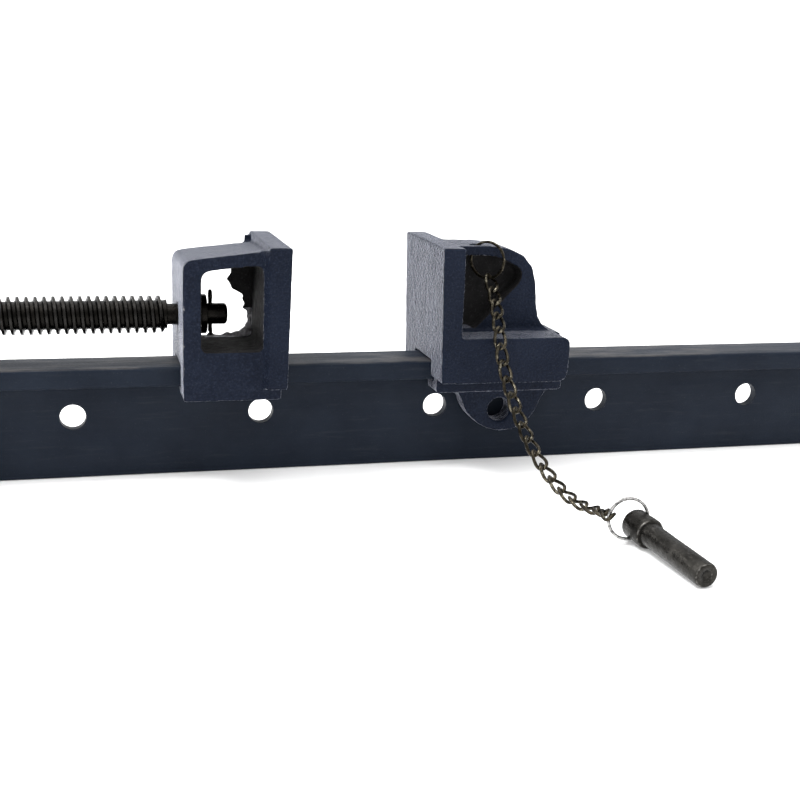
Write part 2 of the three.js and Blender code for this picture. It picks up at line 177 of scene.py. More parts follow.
def sweep(path, radius, sides=12, closed=False):
    """A round wire along a path of points."""
    points = [Vector(p) for p in path]
    count = len(points)
    tangents = []
    for i in range(count):
        before = points[(i - 1) % count] if closed or i > 0 else points[i]
        after = points[(i + 1) % count] if closed or i < count - 1 else points[i]
        tangents.append((after - before).normalized())
    normal = tangents[0].orthogonal().normalized()
    verts, faces = [], []
    normals = []
    for i, t in enumerate(tangents):
        if i:
            normal = tangents[i - 1].rotation_difference(t) @ normal
        normal = (normal - t * normal.dot(t)).normalized()
        normals.append(normal.copy())
    if closed:
        # spread the twist that is left at the join over the whole loop
        back = tangents[-1].rotation_difference(tangents[0]) @ normals[-1]
        twist = math.atan2(back.cross(normals[0]).dot(tangents[0]), back.dot(normals[0]))
        spread = [Matrix.Rotation(twist * i / count, 3, t) for i, t in enumerate(tangents)]
        normals = [turn @ n for turn, n in zip(spread, normals)]
    for p, t, n in zip(points, tangents, normals):
        side = t.cross(n)
        for j in range(sides):
            a = 2 * math.pi * j / sides
            verts.append(p + n * (radius * math.cos(a)) + side * (radius * math.sin(a)))
    for i in range(count if closed else count - 1):
        k = (i + 1) % count
        for j in range(sides):
            m = (j + 1) % sides
            faces.append((i * sides + j, i * sides + m, k * sides + m, k * sides + j))
    if not closed:
        dome = 0.45
        for end, tip in ((0, points[0] - tangents[0] * radius * dome),
                         (count - 1, points[-1] + tangents[-1] * radius * dome)):
            centre = len(verts)
            verts.append(tip)
            for j in range(sides):
                m = (j + 1) % sides
                faces.append((end * sides + j, end * sides + m, centre))
    return verts, faces


def place(verts, matrix):
    return [matrix @ Vector(v) for v in verts]


def merge(parts):
    """Several (vertices, faces) pairs as one."""
    verts, faces = [], []
    for v, f in parts:
        base = len(verts)
        verts.extend(v)
        faces.extend(tuple(i + base for i in face) for face in f)
    return verts, faces


# ---------------------------------------------------------------- curves
def catmull_rom(points, steps=24):
    """The centripetal curve through the points, as a fine list of points."""
    pts = [Vector(p) for p in points]
    pts = [pts[0] * 2 - pts[1]] + pts + [pts[-1] * 2 - pts[-2]]
    out = []
    for p0, p1, p2, p3 in zip(pts, pts[1:], pts[2:], pts[3:]):
        t0 = 0.0
        t1 = t0 + (p1 - p0).length ** 0.5
        t2 = t1 + (p2 - p1).length ** 0.5
        t3 = t2 + (p3 - p2).length ** 0.5
        for s in range(steps):
            t = t1 + (t2 - t1) * s / steps
            a1 = p0 * ((t1 - t) / (t1 - t0)) + p1 * ((t - t0) / (t1 - t0))
            a2 = p1 * ((t2 - t) / (t2 - t1)) + p2 * ((t - t1) / (t2 - t1))
            a3 = p2 * ((t3 - t) / (t3 - t2)) + p3 * ((t - t2) / (t3 - t2))
            b1 = a1 * ((t2 - t) / (t2 - t0)) + a2 * ((t - t0) / (t2 - t0))
            b2 = a2 * ((t3 - t) / (t3 - t1)) + a3 * ((t - t1) / (t3 - t1))
            out.append(b1 * ((t2 - t) / (t2 - t1)) + b2 * ((t - t1) / (t2 - t1)))
    out.append(pts[-2].copy())
    return out


def evenly(points, count):
    """count + 1 points at even distances along a line of points, and the line's length."""
    steps = [0.0]
    for a, b in zip(points, points[1:]):
        steps.append(steps[-1] + (b - a).length)
    total = steps[-1]
    out, j = [], 0
    for i in range(count + 1):
        want = total * i / count
        while j < len(points) - 2 and steps[j + 1] < want:
            j += 1
        share = (want - steps[j]) / max(steps[j + 1] - steps[j], 1e-9)
        out.append(points[j].lerp(points[j + 1], min(share, 1.0)))
    return out, total


# ---------------------------------------------------------------- materials
SHEEN_ROUGHNESS = 0.14
SHEEN_TINT = (0.84, 0.87, 1.0, 1.0)


class Look:
    """A procedural material in the making: each method adds a node and gives back its output socket."""

    def __init__(self, name):
        self.material = bpy.data.materials.new(name)
        self.material.use_nodes = True
        self.tree = self.material.node_tree
        self.shader = self.tree.nodes["Principled BSDF"]
        self.coords = self.node("ShaderNodeTexCoord").outputs["Object"]

    def node(self, kind, **settings):
        node = self.tree.nodes.new(kind)
        for key, value in settings.items():
            setattr(node, key, value)
        return node

    def feed(self, socket, value):
        if isinstance(value, bpy.types.NodeSocket):
            self.tree.links.new(value, socket)
        else:
            socket.default_value = value

    def stretched(self, scale):
        """The object's own coordinates, with each axis multiplied by its part of the scale."""
        node = self.node("ShaderNodeMapping")
        self.feed(node.inputs["Vector"], self.coords)
        node.inputs["Scale"].default_value = scale
        return node.outputs["Vector"]

    def noise(self, scale, detail=4.0, rough=0.55, coords=None, distortion=0.0):
        """Cloudy noise with features of about 1 / scale metres."""
        node = self.node("ShaderNodeTexNoise")
        self.feed(node.inputs["Vector"], coords or self.coords)
        node.inputs["Scale"].default_value = scale
        node.inputs["Detail"].default_value = detail
        node.inputs["Roughness"].default_value = rough
        node.inputs["Distortion"].default_value = distortion
        return node.outputs["Fac"]

    def cells(self, scale):
        """Rounded cells of about 1 / scale metres, 0 at their middles."""
        node = self.node("ShaderNodeTexVoronoi")
        self.feed(node.inputs["Vector"], self.coords)
        node.inputs["Scale"].default_value = scale
        return node.outputs["Distance"]

    def ramp(self, value, *stops):
        """Maps a value to the colours, or greys, at the stops (position, colour or grey)."""
        node = self.node("ShaderNodeValToRGB")
        self.feed(node.inputs["Fac"], value)
        ramp = node.color_ramp
        while len(ramp.elements) < len(stops):
            ramp.elements.new(0.5)
        for element, (where, what) in zip(ramp.elements, stops):
            element.position = where
            element.color = (*what, 1.0) if isinstance(what, tuple) else (what, what, what, 1.0)
        return node.outputs["Color"]

    def mix(self, share, a, b):
        """Colour a, going over to colour b with the share."""
        node = self.node("ShaderNodeMix", data_type="RGBA")
        self.feed(node.inputs[0], share)
        for socket, value in ((node.inputs[6], a), (node.inputs[7], b)):
            self.feed(socket, (*value, 1.0) if isinstance(value, tuple) else value)
        return node.outputs[2]

    def overlay(self, under, value, start, end, color, share=1.0):
        """The colour under, going over to another as the value goes from start to end, up to the share."""
        return self.mix(self.ramp(value, (start, 0.0), (end, share)), under, color)

    def math(self, operation, a, b, clamp=False):
        node = self.node("ShaderNodeMath", operation=operation, use_clamp=clamp)
        self.feed(node.inputs[0], a)
        self.feed(node.inputs[1], b)
        return node.outputs[0]

    def attribute(self, name):
        return self.node("ShaderNodeAttribute", attribute_name=name).outputs["Fac"]

    def rubbed(self, edge, edge_weight, patches, patch_weight):
        """How rubbed a point is: partly by how near it is to an edge, and partly in cloudy patches."""
        return self.math("ADD", self.math("MULTIPLY", edge, edge_weight),
                         self.math("MULTIPLY", patches, patch_weight))

    def edge_share(self, radius):
        """How near a point is to a sharp edge, from 0 on a flat face to about 1 on the edge."""
        round_normal = self.node("ShaderNodeBevel", samples=6)
        round_normal.inputs["Radius"].default_value = radius
        dot = self.node("ShaderNodeVectorMath", operation="DOT_PRODUCT")
        self.feed(dot.inputs[0], round_normal.outputs["Normal"])
        self.feed(dot.inputs[1], self.node("ShaderNodeNewGeometry").outputs["Normal"])
        return self.math("SUBTRACT", 1.0, dot.outputs["Value"], clamp=True)

    def upward(self):
        """The normal's upward part: 1 on a top face, 0 on a side, in the piece's own axes."""
        normal = self.node("ShaderNodeNewGeometry").outputs["Normal"]
        split = self.node("ShaderNodeSeparateXYZ")
        self.feed(split.inputs[0], normal)
        return split.outputs["Z"]

    def finish(self, color, roughness, heights, metallic=0.0, specular=0.5, sheen=0.0):
        """Wires up the shader. The heights are (height, distance in metres), from the broadest bumps down."""
        self.shader.inputs["Sheen Weight"].default_value = sheen
        self.shader.inputs["Sheen Roughness"].default_value = SHEEN_ROUGHNESS
        self.shader.inputs["Sheen Tint"].default_value = SHEEN_TINT
        self.feed(self.shader.inputs["Base Color"], color)
        self.feed(self.shader.inputs["Roughness"], roughness)
        self.feed(self.shader.inputs["Metallic"], metallic)
        self.shader.inputs["Specular IOR Level"].default_value = specular
        normal = None
        for height, distance in heights:
            bump = self.node("ShaderNodeBump")
            bump.inputs["Distance"].default_value = distance
            self.feed(bump.inputs["Height"], height)
            if normal is not None:
                self.feed(bump.inputs["Normal"], normal)
            normal = bump.outputs["Normal"]
        self.feed(self.shader.inputs["Normal"], normal)
        return self.material


def casting_paint():
    """Thin navy paint over a sand casting: pebbly, and rubbed to grey metal in spots along its edges;
    on the jaw's left face and flash the grey specks are partly painted glints.
    """
    look = Look("casting_paint")
    cloud = look.noise(38.0, 6.0, 0.6)
    grain = look.noise(1150.0, 3.0, 0.65)
    pits = look.cells(620.0)
    paint = look.overlay((0.0026, 0.0050, 0.0125), cloud, 0.36, 0.66, (0.0052, 0.0086, 0.0190))
    paint = look.overlay(paint, grain, 0.50, 0.74, (0.016, 0.021, 0.036), 0.8)
    paint = look.mix(look.ramp(grain, (0.30, 0.6), (0.46, 0.0)), paint, (0.0014, 0.0024, 0.0062))
    scuffs = look.noise(130.0, 5.0, 0.7, distortion=0.6)
    paint = look.overlay(paint, scuffs, 0.64, 0.76, (0.030, 0.033, 0.044), 0.35)
    # Where the jaw is marked, these bare grey specks are partly painted glints, on its left face and its
    # flash.
    rub = look.rubbed(look.attribute("edge"), 0.48, look.noise(420.0, 4.0, 0.75), 0.76)
    bare = look.ramp(rub, (0.90, 0.0), (0.98, 1.0))
    metal = look.mix(look.noise(700.0), (0.10, 0.10, 0.115), (0.40, 0.39, 0.40))
    color = look.mix(bare, paint, metal)
    roughness = look.ramp(look.noise(900.0, 3.0, 0.7), (0.34, 0.62), (0.66, 0.26))
    heights = [(look.noise(110.0, 3.0, 0.5), 0.0005), (pits, 0.00024), (grain, 0.00050)]
    return look.finish(color, roughness, heights, look.math("MULTIPLY", bare, 0.75), specular=0.08, sheen=1.0)


def raw_casting_and_shade():
    """Painted shade for the hollows, nearly black, matt and gritty; in the jaw's window also its unpainted
    casting.
    """
    look = Look("raw_casting_and_shade")
    grit = look.noise(900.0, 4.0, 0.7)
    # These near-black colours are painted shade in the recesses, laid over the jaw window's unpainted
    # casting.
    color = look.mix(look.noise(180.0, 5.0, 0.7), (0.0034, 0.0033, 0.0036), (0.0105, 0.0098, 0.0102))
    color = look.overlay(color, grit, 0.58, 0.72, (0.046, 0.045, 0.048), 0.8)
    roughness = look.ramp(look.noise(240.0, 3.0, 0.6), (0.3, 0.70), (0.7, 0.92))
    heights = [(look.noise(200.0, 3.0, 0.6), 0.0008), (grit, 0.00045)]
    return look.finish(color, roughness, heights, metallic=0.0, specular=0.2)


def bar_paint():
    """Dark blue-black finish on hot-rolled steel, streaked along the bar's length and scraped on its top."""
    look = Look("bar_paint")
    along = look.stretched((0.09, 1.0, 1.0))
    streaks = look.noise(420.0, 6.0, 0.62, along)
    cloud = look.noise(26.0, 5.0, 0.6)
    speckle = look.noise(1100.0, 2.0, 0.6)
    color = look.overlay((0.0044, 0.0076, 0.0145), cloud, 0.35, 0.68, (0.0076, 0.0118, 0.0205))
    color = look.overlay(color, streaks, 0.56, 0.78, (0.021, 0.025, 0.031), 0.45)
    color = look.overlay(color, speckle, 0.64, 0.82, (0.042, 0.046, 0.052), 0.6)
    top = look.ramp(look.upward(), (0.55, 0.0), (0.92, 1.0))
    scrapes = look.noise(60.0, 6.0, 0.7, look.stretched((0.28, 1.0, 1.0)))
    scraped = look.math("MULTIPLY", top, look.ramp(scrapes, (0.48, 0.0), (0.66, 1.0)))
    metal = look.mix(look.noise(300.0), (0.030, 0.029, 0.031), (0.085, 0.082, 0.082))
    color = look.mix(scraped, color, metal)
    rub = look.rubbed(look.edge_share(0.0010), 3.0, look.noise(190.0, 5.0, 0.75), 0.8)
    bare = look.ramp(rub, (0.90, 0.0), (1.0, 1.0))
    color = look.mix(bare, color, (0.13, 0.13, 0.135))
    roughness = look.ramp(look.noise(150.0, 5.0, 0.7, along), (0.3, 0.40), (0.72, 0.60))
    metallic = look.math("MULTIPLY", look.math("MAXIMUM", bare, scraped), 0.6)
    heights = [(look.noise(45.0, 3.0, 0.5, along), 0.0007), (streaks, 0.00012), (speckle, 0.00014)]
    return look.finish(color, roughness, heights, metallic, specular=0.10, sheen=0.3)


def black_steel():
    """Oily blackened steel, nearly black in the hollows and a little greyer on the crests."""
    look = Look("black_steel")
    cloud = look.noise(90.0, 5.0, 0.6)
    fine = look.noise(1400.0, 3.0, 0.7)
    color = look.overlay((0.0026, 0.0024, 0.0021), cloud, 0.35, 0.7, (0.010, 0.0088, 0.0074))
    rub = look.rubbed(look.attribute("edge"), 0.5, look.noise(330.0, 4.0, 0.7), 0.75)
    bare = look.ramp(rub, (0.70, 0.0), (1.0, 1.0))
    color = look.mix(bare, color, (0.020, 0.019, 0.018))
    roughness = look.ramp(look.noise(240.0, 4.0, 0.6), (0.3, 0.18), (0.7, 0.36))
    heights = [(look.noise(210.0, 3.0, 0.6), 0.00025), (fine, 0.00010)]
    return look.finish(color, roughness, heights, metallic=0.9, specular=0.35)


def grey_steel():
    """Dull grey-brown steel with fine pits and tool marks, brighter where it is handled."""
    look = Look("grey_steel")
    around = look.stretched((1.0, 0.25, 1.0))
    marks = look.noise(900.0, 4.0, 0.7, around)
    cloud = look.noise(120.0, 5.0, 0.65)
    color = look.overlay((0.009, 0.0083, 0.0072), cloud, 0.36, 0.66, (0.026, 0.0245, 0.0220))
    color = look.overlay(color, marks, 0.56, 0.72, (0.070, 0.066, 0.060), 0.75)
    rub = look.rubbed(look.attribute("edge"), 0.6, look.noise(420.0, 4.0, 0.7), 0.7)
    bare = look.ramp(rub, (0.72, 0.0), (0.98, 1.0))
    color = look.mix(bare, color, (0.26, 0.25, 0.235))
    roughness = look.ramp(look.noise(300.0, 4.0, 0.65), (0.3, 0.20), (0.7, 0.40))
    heights = [(look.noise(240.0, 3.0, 0.6), 0.0003), (marks, 0.00016)]
    return look.finish(color, roughness, heights, metallic=0.9, specular=0.4)


def bright_wire():
    """Plated spring wire, dull grey with scratches that catch the light."""
    look = Look("bright_wire")
    haze = look.noise(500.0, 4.0, 0.6)
    color = look.overlay((0.105, 0.104, 0.103), haze, 0.4, 0.62, (0.42, 0.415, 0.405))
    roughness = look.ramp(look.noise(900.0, 3.0, 0.6), (0.3, 0.16), (0.7, 0.34))
    scratches = [(look.noise(1600.0, 3.0, 0.6), 0.00004)]
    return look.finish(color, roughness, scratches, metallic=1.0, specular=0.5)


def bronze_wire():
    """Dark antique-bronze plating, worn to yellow metal where the links rub."""
    look = Look("bronze_wire")
    cloud = look.noise(260.0, 5.0, 0.65)
    color = look.overlay((0.008, 0.0068, 0.0045), cloud, 0.36, 0.64, (0.042, 0.0355, 0.0240))
    rub = look.ramp(look.noise(420.0, 4.0, 0.7), (0.54, 0.0), (0.68, 0.75))
    color = look.mix(rub, color, (0.27, 0.245, 0.185))
    roughness = look.ramp(look.noise(800.0, 3.0, 0.6), (0.3, 0.20), (0.7, 0.40))
    scratches = [(look.noise(1500.0, 3.0, 0.6), 0.00005)]
    return look.finish(color, roughness, scratches, metallic=0.92, specular=0.5)


CASTING = casting_paint()
RAW_AND_SHADE = raw_casting_and_shade()
BAR = bar_paint()
BLACK = black_steel()
GREY = grey_steel()
BRIGHT = bright_wire()
BRONZE = bronze_wire()


# ---------------------------------------------------------------- the chain
def link_path(steps=36):
    """The middle of one curb link's wire, in the link's own axes: its two ends lie a quarter turn apart."""
    half, wide = LINK["half"], LINK["wide"]
    path = []
    for i in range(steps):
        angle = 2 * math.pi * i / steps
        along = (half - wide) * math.tanh(2.5 * math.cos(angle)) + wide * math.cos(angle)
        across = wide * math.sin(angle)
        twist = math.pi / 4 * along / half
        path.append(Vector((along, across * math.cos(twist), across * math.sin(twist))))
    return path


def make_chain():
    """The links in a row along the route, each starting where the one before it ends."""
    names = [name for name in NODES if name.startswith("chain_link_")]
    route = [at(*p) for p in catmull_rom(CHAIN_ROUTE)]
    ends, length = evenly(route, len(names))
    link = sweep([p * MM for p in link_path()], LINK["wire"] * MM, 10, closed=True)
    parts = []
    for a, b in zip(ends, ends[1:]):
        along = (b - a).normalized()
        across = (Vector((1, 0, 0)) - along * along.x).normalized()
        turn = Matrix((along, across, along.cross(across))).transposed().to_4x4()
        parts.append((place(link[0], Matrix.Translation((a + b) / 2) @ turn), link[1]))
    mesh = mesh_from("slide_chain", *merge(parts))
    smooth_by_angle(mesh, 80)
    chain = add_object("slide_chain", mesh, "slide", BRONZE, names)
    path, _ = evenly(route, 90)
    return chain, length, path


# ---------------------------------------------------------------- castings
def evaluated_mesh(obj):
    """The object's mesh with its modifiers applied."""
    bpy.context.view_layer.update()
    return bpy.data.meshes.new_from_object(obj.evaluated_get(bpy.context.evaluated_depsgraph_get()))


def smoothed(points, edges, rounds, strength=0.5):
    """Vertex positions after some rounds of moving each vertex towards the middle of its neighbours."""
    points = points.copy()
    degree = np.bincount(edges.ravel(), minlength=len(points))[:, None].clip(1)
    for _ in range(rounds):
        total = np.zeros_like(points)
        for axis in range(3):
            total[:, axis] = (np.bincount(edges[:, 0], points[edges[:, 1], axis], len(points))
                              + np.bincount(edges[:, 1], points[edges[:, 0], axis], len(points)))
        points += strength * (total / degree - points)
    return points


def mark(mesh, shares):
    """Writes how worn each vertex is, and on the jaw how much painted light it gets,
    as the attribute that the materials read.
    """
    layer = mesh.attributes.new("edge", "FLOAT", "POINT")
    layer.data.foreach_set("value", np.asarray(shares, dtype=np.float32).clip(0.0, 2.0))


def inside(points, low, high, soft=0.8):
    """How far each point lies within a box given in millimetres: 1 inside, falling to 0 over soft."""
    low, high = np.array(at(*low)), np.array(at(*high))
    depth = np.minimum(points - low, high - points).min(1) / (soft * MM)
    return (depth + 1.0).clip(0.0, 1.0)


def read(elements, key, width, kind=float):
    """One property of all of a mesh's vertices or edges, as an array with a row for each."""
    values = np.empty(len(elements) * width, dtype=kind)
    elements.foreach_get(key, values)
    return values.reshape(-1, width)


def bumps(points, scale, offset=(0.0, 0.0, 0.0)):
    """Smooth noise at each point, with features of about 1 / scale metres."""
    return np.array([noise.noise(Vector(p) * scale + Vector(offset)) for p in points])


def voxel_skin(node, name, voxel, lumps):
    """A copy of the CAD casting as an even mesh, with the lumps melted into it."""
    raw = NODES[node].data.copy()
    bm = bmesh.new()
    bm.from_mesh(raw)
    for centre, radius in lumps:
        there = Matrix.Translation(at(*centre))
        bmesh.ops.create_icosphere(bm, subdivisions=2, radius=radius * MM, matrix=there)
    bm.to_mesh(raw)
    bm.free()
    blank = bpy.data.objects.new(name + "_blank", raw)
    bpy.context.scene.collection.objects.link(blank)
    remesh = blank.modifiers.new("voxels", "REMESH")
    remesh.mode = "VOXEL"
    remesh.voxel_size = voxel * MM
    mesh = evaluated_mesh(blank)
    bpy.data.objects.remove(blank)
    mesh.name = name
    return mesh


def sand_cast(node, name, body, voxel, hollows=(), worn=(), blends=(), lumps=()):
    """The CAD casting with the skin of a sand casting: soft edges, slightly uneven faces, a grainy surface.
    Boxes in millimetres mark its hollows, whose faces take a near-black finish of painted shade (over the jaw
    window's unpainted casting), its worn places and painted glints (with how strong they are) and where its
    edges are blended more. Lumps of stray metal are balls (centre, radius)."""
    mesh = voxel_skin(node, name, voxel, lumps)
    edges = read(mesh.edges, "vertices", 2, np.int64)
    points = smoothed(read(mesh.vertices, "co", 3), edges, 3)
    for low, high in blends:
        share = inside(points, low, high, 3.0)[:, None]
        points = points * (1 - share) + smoothed(points, edges, 16) * share
    mesh.vertices.foreach_set("co", points.ravel())
    mesh.update()
    normals = read(mesh.vertices, "normal", 3)
    convex = ((points - smoothed(points, edges, 10)) * normals).sum(1) / (0.62 * MM)
    uneven = bumps(points, 55.0)
    pebbles = bumps(points, 330.0, (7.0, 3.0, 1.0))
    grit = bumps(points, 900.0, (2.0, 9.0, 5.0))
    depth = -0.06 + 0.16 * uneven + 0.10 * pebbles + 0.07 * grit
    hollow = np.zeros(len(points))
    for low, high in hollows:
        hollow = np.maximum(hollow, inside(points, low, high))
    # The worn boxes' bare metal is partly painted light: glints on the jaw's left face and its lit flash.
    for low, high, much in worn:
        share = inside(points, low, high, 0.3)
        hollow = hollow * (1 - share)
        convex = np.maximum(convex, much * share)
    points = points + normals * (depth * MM)[:, None]
    mesh.vertices.foreach_set("co", points.ravel())
    mark(mesh, convex)
    mesh.polygons.foreach_set("use_smooth", [True] * len(mesh.polygons))
    mesh.update()
    obj = add_object(name, mesh, body, CASTING, [node])
    # The hollows' faces take the near-black finish, which is painted shade (over unpainted casting in the
    # jaw).
    if hollows:
        mesh.materials.append(RAW_AND_SHADE)
        in_hollow = [int(hollow[face.vertices[0]] > 0.5) for face in mesh.polygons]
        mesh.polygons.foreach_set("material_index", in_hollow)
    return obj


# ---------------------------------------------------------------- turned and threaded pieces
def boolean_cut(mesh, cutters):
    """The mesh less each of the cutters, which are (vertices, faces)."""
    obj = bpy.data.objects.new("blank", mesh)
    bpy.context.scene.collection.objects.link(obj)
    tools = []
    for cutter in cutters:
        tool = bpy.data.objects.new("tool", mesh_from("tool", *cutter))
        bpy.context.scene.collection.objects.link(tool)
        tools.append(tool)
        cut = obj.modifiers.new("cut", "BOOLEAN")
        cut.operation = "DIFFERENCE"
        cut.solver = "EXACT"
        cut.object = tool
    result = evaluated_mesh(obj)
    for o in [obj, *tools]:
        bpy.data.objects.remove(o)
    return result


TO_Y = Matrix.Rotation(math.pi / 2, 4, "Z")
TO_Z = Matrix.Rotation(-math.pi / 2, 4, "Y")


def turned(name, profile, matrix, body, material, nodes, segments=64, cutters=(), degrees=35.0):
    """A lathe-turned piece. The matrix takes it from its own axis, +X in metres, to its place."""
    verts, faces = lathe(profile, segments)
    mesh = mesh_from(name, place([Vector(v) * MM for v in verts], matrix), faces)
    if cutters:
        mesh = boolean_cut(mesh, cutters)
        mesh.name = name
    smooth_by_angle(mesh, degrees)
    return add_object(name, mesh, body, material, nodes)


def drill(radius, reach, matrix, rim=0.5, rim_at=None, segments=48):
    """A cutter for a hole. Where rim_at is given, it widens by rim at the faces, which are at +-rim_at."""
    if rim_at is None:
        profile = [(-reach, 0), (-reach, radius), (reach, radius), (reach, 0)]
    else:
        wide = radius + rim + (reach - rim_at)
        profile = [(-reach, 0), (-reach, wide), (-rim_at + rim, radius), (rim_at - rim, radius),
                   (reach, wide), (reach, 0)]
    verts, faces = lathe(profile, segments)
    return place([Vector(v) * MM for v in verts], matrix), faces


def on_screw(x):
    """The screw's axis, +X, moved so that it starts at a distance along the bar."""
    return Matrix.Translation(at(x, 0, SCREW["z"]))


def thread_surface():
    """A right-hand trapezoidal thread as a skin whose edges follow the helix, open at its two ends."""
    first, last, lead, outer, root, steps = THREAD.values()
    run_in, run_out = 3.0, 2.2
    # one pitch of the section: (share of the pitch, radius)
    section = [(0.00, outer - 0.12), (0.03, outer), (0.30, outer), (0.33, outer - 0.12),
               (0.47, root + 0.25), (0.51, root), (0.82, root), (0.86, root + 0.25)]
    turns = int((last - first) / lead) + 3
    rows = [(first + lead * (k - 1.5 + share), r) for k in range(turns) for share, r in section]
    verts, faces = [], []
    for x, r in rows:
        for j in range(steps):
            a = 2 * math.pi * j / steps
            along = x + lead * j / steps
            fade = min(1.0, max(0.0, (along - first) / run_in), max(0.0, (last - along) / run_out))
            radius = root + (r - root) * fade
            along = min(max(along, first), last)
            verts.append((along, radius * math.cos(a), radius * math.sin(a)))
    per_turn = len(section)
    for i in range(len(rows) - 1):
        for j in range(steps - 1):
            faces.append((i * steps + j, i * steps + j + 1, (i + 1) * steps + j + 1, (i + 1) * steps + j))
        if i + per_turn + 1 < len(rows):
            # the seam: the last column joins the first one a pitch further on
            a, b = i * steps + steps - 1, (i + 1) * steps + steps - 1
            c, d = (i + per_turn) * steps, (i + per_turn + 1) * steps
            faces.append((a, c, d, b))
    return verts, faces


def mirrored(half):
    """A turned profile from its first half, whose distances are below zero."""
    return half + [(-x, r) for x, r in reversed(half)]


def turned_solid(name, profile, x, cutters):
    """A turned solid on the screw's axis, less its cutters."""
    verts, faces = lathe([(along + x, r) for along, r in profile])
    mesh = mesh_from(name, place([Vector(v) * MM for v in verts], on_screw(0)), faces)
    return boolean_cut(mesh, cutters)


def make_screw():
    """The spindle: a cross-drilled head, a shank with the spigot that turns in the jaw, and a thread."""
    wide = SCREW["head"]
    profile = [(0, 0), (0, wide - 2.4), (0.4, wide - 1.4), (2.2, wide), (24.8, wide), (26.6, wide - 1.2),
               (27.8, wide - 3.6), (28.4, wide - 4.6), (30, wide - 5), (31.4, wide - 6), (31.4, 0)]
    tommy_hole = drill(TOMMY["hole"], 20, on_screw(TOMMY["x"]) @ TO_Y)
    head = turned_solid("screw_head", profile, SCREW["start"], [tommy_hole])
    first, last, root = THREAD["from"], THREAD["to"], THREAD["root"]
    shoulder, end, neck = SCREW["shoulder"], SCREW["end"], SCREW["neck"]
    profile = [(first - 3.5, 0), (first - 3.5, 7.4), (first, 7.4), (first + 0.4, root - 0.15),
               (last - 0.6, root - 0.15), (last, root), (shoulder - 0.1, 7.6), (shoulder, 7.2),
               (shoulder + 0.1, neck), (end - 1.3, neck), (end - 0.8, neck - 0.2), (end - 0.1, neck - 1.0),
               (end, neck - 1.3), (end, 0)]
    pin_hole = drill(SPLIT_PIN["hole"], 10, on_screw(SPLIT_PIN["x"]) @ TO_Z, segments=24)
    shank = turned_solid("shank", profile, 0, [pin_hole])
    skin, skin_faces = thread_surface()
    thread = mesh_from("thread", place([Vector(v) * MM for v in skin], on_screw(0)), skin_faces)
    bm = bmesh.new()
    for part in (head, shank, thread):
        bm.from_mesh(part)
    mesh = bpy.data.meshes.new("screw")
    bm.to_mesh(mesh)
    bm.free()
    smooth_by_angle(mesh, 28)
    mark_crests(mesh)
    return add_object("screw", mesh, "screw", BLACK, ["screw_spindle"])


def mark_crests(mesh):
    """Marks the thread as worn towards its crests, and the screw's head as hardly worn."""
    crest, off_thread = 0.6, 0.2
    centre = at(THREAD["from"], 0, SCREW["z"])
    worn = []
    for vertex in mesh.vertices:
        radius = math.hypot(vertex.co.y - centre.y, vertex.co.z - centre.z) / MM
        on_crest = (radius - THREAD["outer"] + crest) / crest
        worn.append(on_crest if vertex.co.x > centre.x else off_thread)
    mark(mesh, worn)


def make_washer():
    start, end, radius, bore = WASHER.values()
    profile = [(start, bore), (start, radius - 0.4), (start + 0.3, radius), (end - 0.3, radius),
               (end, radius - 0.4), (end, bore), (start, bore)]
    turned("retaining_washer", profile, on_screw(0), "screw", BLACK, ["thrust_washer"])


def make_split_pin():
    """One wire, which goes up through the screw, round the eye and down again to its two spread tips."""
    path = [(-2.9, -9.6), (-1.9, -7.6), (-1.0, -5.8), (-0.9, -3.0), (-0.9, 4.0), (-0.95, 6.2), (-1.7, 7.4),
            (-2.3, 8.8), (-1.9, 10.2), (-0.8, 10.9), (0.8, 10.9), (1.9, 10.2), (2.3, 8.8), (1.7, 7.4),
            (0.95, 6.2), (0.9, 4.0), (0.9, -3.0), (1.0, -5.8), (1.8, -7.4), (2.6, -8.8)]
    fine = catmull_rom([(0.0, y, z) for y, z in path], 4)
    verts, faces = sweep([p * MM for p in fine], SPLIT_PIN["wire"] * MM, 10)
    mesh = mesh_from("split_pin", place(verts, on_screw(SPLIT_PIN["x"])), faces)
    smooth_by_angle(mesh, 60)
    add_object("split_pin", mesh, "screw", BLACK, ["cotter_pin"])


def make_tommy():
    """The sliding handle through the screw's head, with a domed cap on each end."""
    half, radius = TOMMY["half_long"], TOMMY["radius"]
    towards_rear = on_screw(TOMMY["x"]) @ TO_Y
    towards_front = on_screw(TOMMY["x"]) @ TO_Y.inverted()
    rod = mirrored([(-half, 0), (-half, radius - 1), (1 - half, radius)])
    turned("tommy_rod", rod, towards_rear, "tommy", BLACK, ["tommy_bar"])
    cap = [(62, 5.3), (62, 6.0), (62.2, 6.9), (63, 7.7), (64.5, 8), (71.5, 8), (73.2, 7.6), (74.8, 6.4),
           (75.8, 4.2), (76.3, 2.0), (76.4, 0), (73.3, 0), (73.3, 5.3), (62, 5.3)]
    for side, matrix in (("rear", towards_rear), ("front", towards_front)):
        turned(f"tommy_cap_on_{side}", cap, matrix, "tommy", BLACK, [f"tommy_cap_{side}"])


def make_rivets():
    """The two domed rivets through the head casting, and the flat-headed one that stops the tail slide."""
    dome = [(-24.3, 0), (-24.2, 2.2), (-23.7, 4.2), (-22.7, 5.8), (-21.4, 6.8), (-20.5, 7.0), (-20.3, 6.6),
            (-20.3, 4)]
    for i, x in enumerate(RIVETS["at"]):
        turned(f"rivet_in_head_{i + 1}", mirrored(dome), Matrix.Translation(at(x, 0, RIVETS["z"])) @ TO_Y,
               "bar", BAR, [f"head_rivet_{i + 1}"])
    flat = [(-12, 0), (-12, 5.6), (-11.8, 6.3), (-11.2, 6.85), (-10.4, 7), (-3.3, 7), (-3.05, 6.8),
            (-3.05, 4)]
    turned("stop_rivet", mirrored(flat), Matrix.Translation(at(STOP["x"], 0, STOP["z"])) @ TO_Y,
           "bar", BAR, ["end_stop_rivet"])


